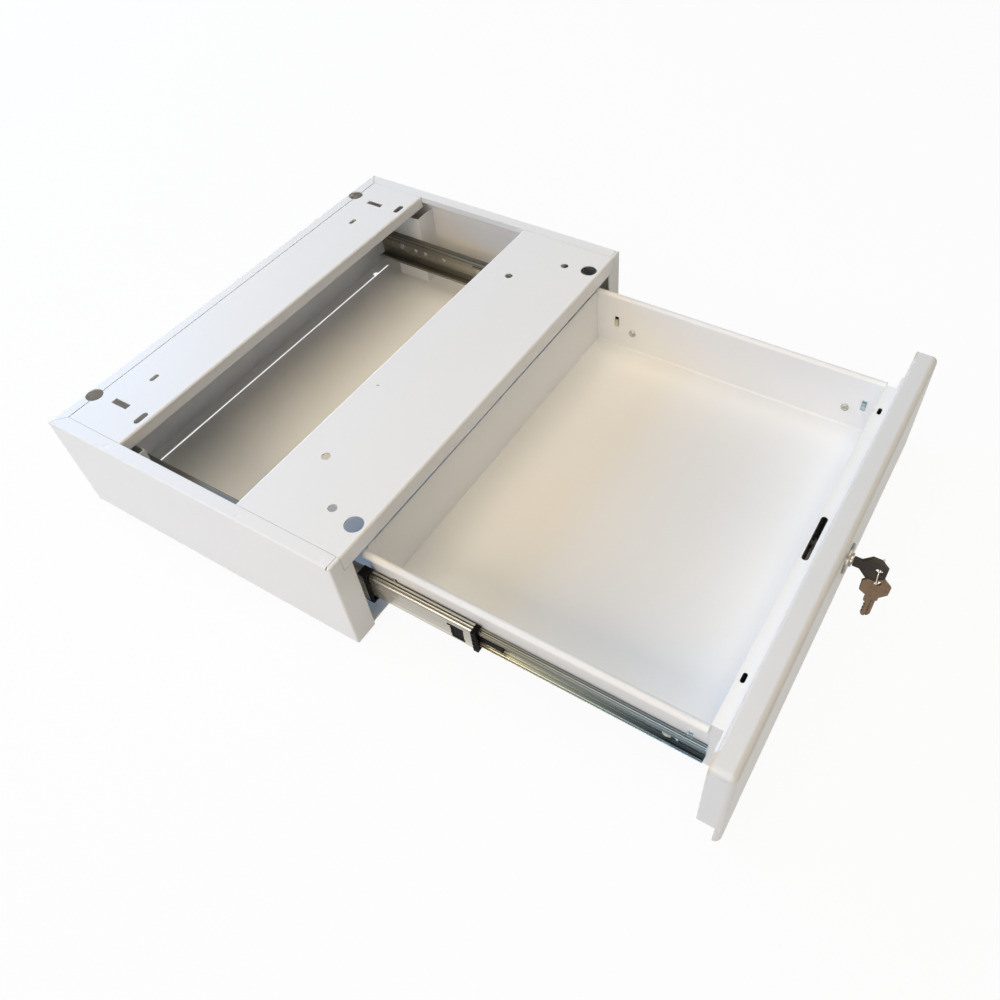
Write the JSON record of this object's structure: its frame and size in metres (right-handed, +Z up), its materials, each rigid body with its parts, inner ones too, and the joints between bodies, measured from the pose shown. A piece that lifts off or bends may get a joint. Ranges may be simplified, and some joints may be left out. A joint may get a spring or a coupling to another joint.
{
  "type": "lockable under-desk drawer",
  "caption": "Shallow lockable steel drawer in a screw-on casing, hung under a desk on ball-bearing slides, shown pulled out with its keys in the lock.",
  "frame": {"origin": "middle of the front row of desk screws, on the face that touches the desk", "axes": "+Z up out of the face that touches the desk, -Y towards the user and the way the drawer opens, +X the user's right"},
  "size_m": [0.465, 0.6995, 0.1155],
  "materials": {
    "white_coat": "satin white powder coat",
    "zinc": "bright zinc plate",
    "black_plastic": "satin black",
    "nickel": "nickel plate",
    "brass": "dull, browned"
  },
  "bodies": {
    "casing": {"casing_shell": "white_coat", "rear_top_plate": "white_coat", "front_top_plate": "white_coat", "front_plate_flange": "white_coat", "opening_flange": "white_coat", "bottom_panel": "white_coat", "front_bracket_left": "white_coat", "front_bracket_right": "white_coat", "rear_bracket_left": "white_coat", "rear_bracket_right": "white_coat", "outer_slide_left": "zinc", "outer_slide_right": "zinc", "outer_buffer_left": "black_plastic", "outer_buffer_right": "black_plastic", "slide_screws": "zinc"},
    "outer_cage_left": {"outer_ball_cage_left": "zinc"},
    "outer_cage_right": {"outer_ball_cage_right": "zinc"},
    "middle_left": {"middle_slide_left": "zinc", "middle_clip_left": "black_plastic"},
    "middle_right": {"middle_slide_right": "zinc", "middle_clip_right": "black_plastic"},
    "inner_cage_left": {"inner_ball_cage_left": "zinc"},
    "inner_cage_right": {"inner_ball_cage_right": "zinc"},
    "drawer": {"drawer_tray": "white_coat", "inner_front": "white_coat", "fascia": "white_coat", "inner_slide_left": "zinc", "inner_slide_right": "zinc", "drawer_screws": "zinc", "lock_housing": "nickel", "lock_nut": "zinc"},
    "lever_left": {"release_lever_left": "black_plastic"},
    "lever_right": {"release_lever_right": "black_plastic"},
    "plug": {"lock_plug": "nickel", "lock_cam": "zinc", "cam_screw": "zinc"},
    "key": {"key_blade": "nickel", "key_head": "black_plastic"},
    "ring": {"key_ring": "nickel"},
    "spare": {"spare_key": "brass"}
  },
  "joints": [
    {"name": "drawer_slide", "type": "slide", "parent": "casing", "child": "drawer", "axis": [0, -1, 0], "range_m": [-0.31, 0]},
    {"name": "outer_cage_left_slide", "type": "slide", "parent": "casing", "child": "outer_cage_left", "axis": [0, -1, 0], "range_m": [-0.0558, 0]},
    {"name": "outer_cage_right_slide", "type": "slide", "parent": "casing", "child": "outer_cage_right", "axis": [0, -1, 0], "range_m": [-0.0558, 0]},
    {"name": "middle_left_slide", "type": "slide", "parent": "casing", "child": "middle_left", "axis": [0, -1, 0], "range_m": [-0.1116, 0]},
    {"name": "middle_right_slide", "type": "slide", "parent": "casing", "child": "middle_right", "axis": [0, -1, 0], "range_m": [-0.1116, 0]},
    {"name": "inner_cage_left_slide", "type": "slide", "parent": "casing", "child": "inner_cage_left", "axis": [0, -1, 0], "range_m": [-0.2108, 0]},
    {"name": "inner_cage_right_slide", "type": "slide", "parent": "casing", "child": "inner_cage_right", "axis": [0, -1, 0], "range_m": [-0.2108, 0]},
    {"name": "left_release", "type": "hinge", "parent": "drawer", "child": "lever_left", "pos_m": [-0.1944, -0.1264, -0.064], "axis": [1, 0, 0], "range_deg": [0, 5], "stiffness_Nm_per_rad": 0.02, "springref_deg": -2.86},
    {"name": "right_release", "type": "hinge", "parent": "drawer", "child": "lever_right", "pos_m": [0.1944, -0.1264, -0.064], "axis": [-1, 0, 0], "range_deg": [0, 5], "stiffness_Nm_per_rad": 0.02, "springref_deg": -2.86},
    {"name": "lock_turn", "type": "hinge", "parent": "drawer", "child": "plug", "pos_m": [0.003, -0.36, -0.043], "axis": [0, 1, 0], "range_deg": [0, 90]},
    {"name": "key_pull", "type": "slide", "parent": "plug", "child": "key", "axis": [0, -1, 0], "range_m": [0, 0.027]},
    {"name": "ring_swing", "type": "hinge", "parent": "key", "child": "ring", "pos_m": [0.003, -0.395, -0.043], "axis": [1, 0, 0], "range_deg": [-20, 2]},
    {"name": "spare_swing", "type": "hinge", "parent": "ring", "child": "spare", "pos_m": [0.0074, -0.3969, -0.0615], "axis": [1, 0, 0], "range_deg": [-12, 3]}
  ],
  "couplings": [
    {"joint": "outer_cage_left_slide", "follows": "drawer_slide", "ratio": 0.18},
    {"joint": "outer_cage_right_slide", "follows": "drawer_slide", "ratio": 0.18},
    {"joint": "middle_left_slide", "follows": "drawer_slide", "ratio": 0.36},
    {"joint": "middle_right_slide", "follows": "drawer_slide", "ratio": 0.36},
    {"joint": "inner_cage_left_slide", "follows": "drawer_slide", "ratio": 0.68},
    {"joint": "inner_cage_right_slide", "follows": "drawer_slide", "ratio": 0.68}
  ]
}
